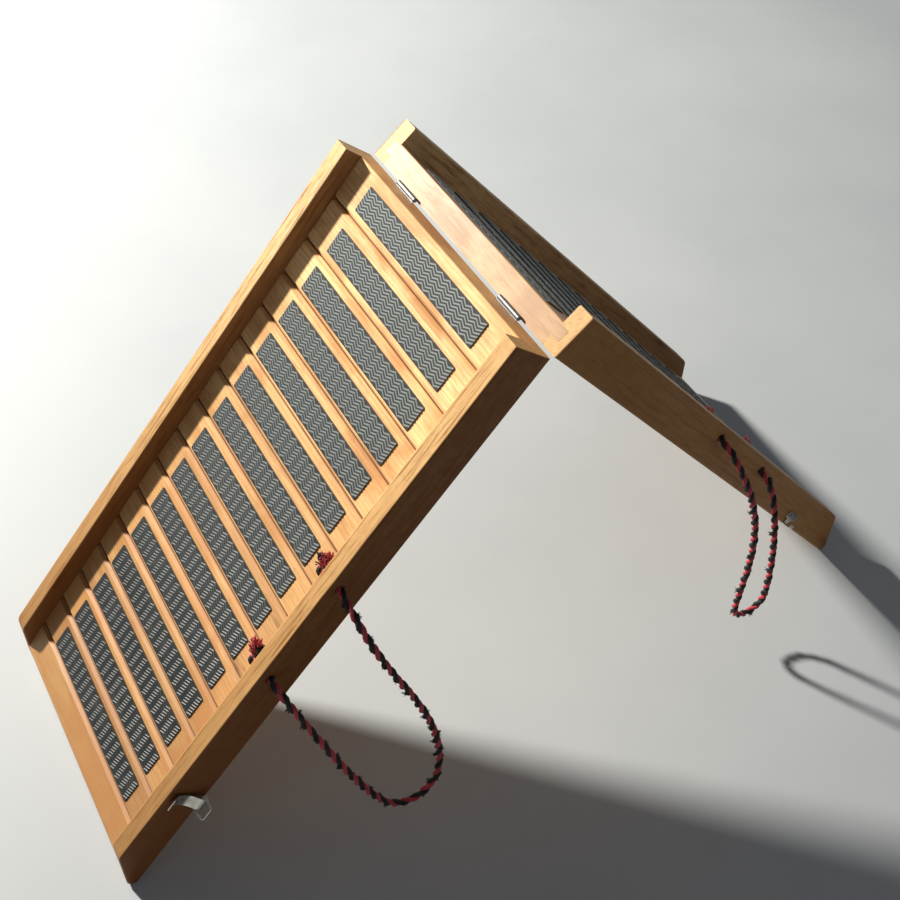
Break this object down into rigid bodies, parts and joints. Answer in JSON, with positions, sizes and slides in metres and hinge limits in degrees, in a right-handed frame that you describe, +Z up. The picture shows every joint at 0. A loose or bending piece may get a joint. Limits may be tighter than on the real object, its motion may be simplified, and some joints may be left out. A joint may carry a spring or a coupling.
{
  "type": "folding pet ramp",
  "caption": "Two-section folding wooden ramp for pets, standing open as a tent, with ribbed rubber treads, rope handles, butt hinges and a bail latch",
  "frame": {"origin": "On the ground, midway between the two feet and midway over the whole depth, the hanging latch loop included", "axes": "+X runs along the ramp from the latch section to the keeper section, +Y across its width away from the rope handles and the latch, +Z up"},
  "size_m": [1.1164, 0.4955, 0.6843],
  "materials": {
    "rail_wood": "oiled pine, fine grain along the rail",
    "slat_wood": "oiled pine, grain across the ramp, small knots",
    "ribbed_rubber": "charcoal, zigzag ribs, dull sheen",
    "twisted_rope": "two strands twisted together, one red and one black",
    "knotted_rope": "rope knot with frayed ends",
    "nickel_plate": "nickel-plated pressed steel, lightly rubbed",
    "bright_wire": "plated steel wire",
    "zinc_steel": "zinc-plated steel"
  },
  "bodies": {
    "left_section": {"left_front_rail": "rail_wood", "left_back_rail": "rail_wood", "left_hinge_board": "slat_wood", "left_slat_01": "slat_wood", "left_slat_02": "slat_wood", "left_slat_03": "slat_wood", "left_slat_04": "slat_wood", "left_slat_05": "slat_wood", "left_slat_06": "slat_wood", "left_slat_07": "slat_wood", "left_slat_08": "slat_wood", "left_slat_09": "slat_wood", "left_slat_10": "slat_wood", "left_slat_11": "slat_wood", "left_slat_12": "slat_wood", "left_slat_13": "slat_wood", "left_slat_14": "slat_wood", "left_end_board": "slat_wood", "left_rubber_treads": "ribbed_rubber", "left_rope": "twisted_rope", "left_rope_upper_knot": "knotted_rope", "left_rope_lower_knot": "knotted_rope", "left_hinge_screws": "zinc_steel", "front_hinge_left_leaf": "zinc_steel", "front_hinge_pin": "zinc_steel", "back_hinge_left_leaf": "zinc_steel", "back_hinge_pin": "zinc_steel", "latch_base_plate": "nickel_plate", "latch_pivot_pin": "zinc_steel", "latch_screws": "zinc_steel"},
    "right_section": {"right_front_rail": "rail_wood", "right_back_rail": "rail_wood", "right_hinge_board": "slat_wood", "right_slat_01": "slat_wood", "right_slat_02": "slat_wood", "right_slat_03": "slat_wood", "right_slat_04": "slat_wood", "right_slat_05": "slat_wood", "right_slat_06": "slat_wood", "right_slat_07": "slat_wood", "right_slat_08": "slat_wood", "right_slat_09": "slat_wood", "right_slat_10": "slat_wood", "right_slat_11": "slat_wood", "right_slat_12": "slat_wood", "right_slat_13": "slat_wood", "right_slat_14": "slat_wood", "right_end_board": "slat_wood", "right_rubber_treads": "ribbed_rubber", "right_rope": "twisted_rope", "right_rope_upper_knot": "knotted_rope", "right_rope_lower_knot": "knotted_rope", "right_hinge_screws": "zinc_steel", "front_hinge_right_leaf": "zinc_steel", "back_hinge_right_leaf": "zinc_steel", "keeper_plate": "nickel_plate", "keeper_screws": "zinc_steel"},
    "latch_lever": {"latch_lever": "nickel_plate"},
    "latch_bail": {"latch_bail": "bright_wire"}
  },
  "joints": [
    {"name": "fold_hinge", "type": "hinge", "parent": "left_section", "child": "right_section", "pos_m": [0, 0.01328, 0.65075], "axis": [0, -1, 0], "range_deg": [-80, 105]},
    {"name": "latch_lever_hinge", "type": "hinge", "parent": "left_section", "child": "latch_lever", "pos_m": [-0.44821, -0.19512, 0.12873], "axis": [0.6428, 0, 0.766], "range_deg": [0, 25]},
    {"name": "latch_bail_hinge", "type": "hinge", "parent": "latch_lever", "child": "latch_bail", "pos_m": [-0.45243, -0.19371, 0.13226], "axis": [-0.6428, 0, -0.766], "range_deg": [-70, 80]}
  ]
}
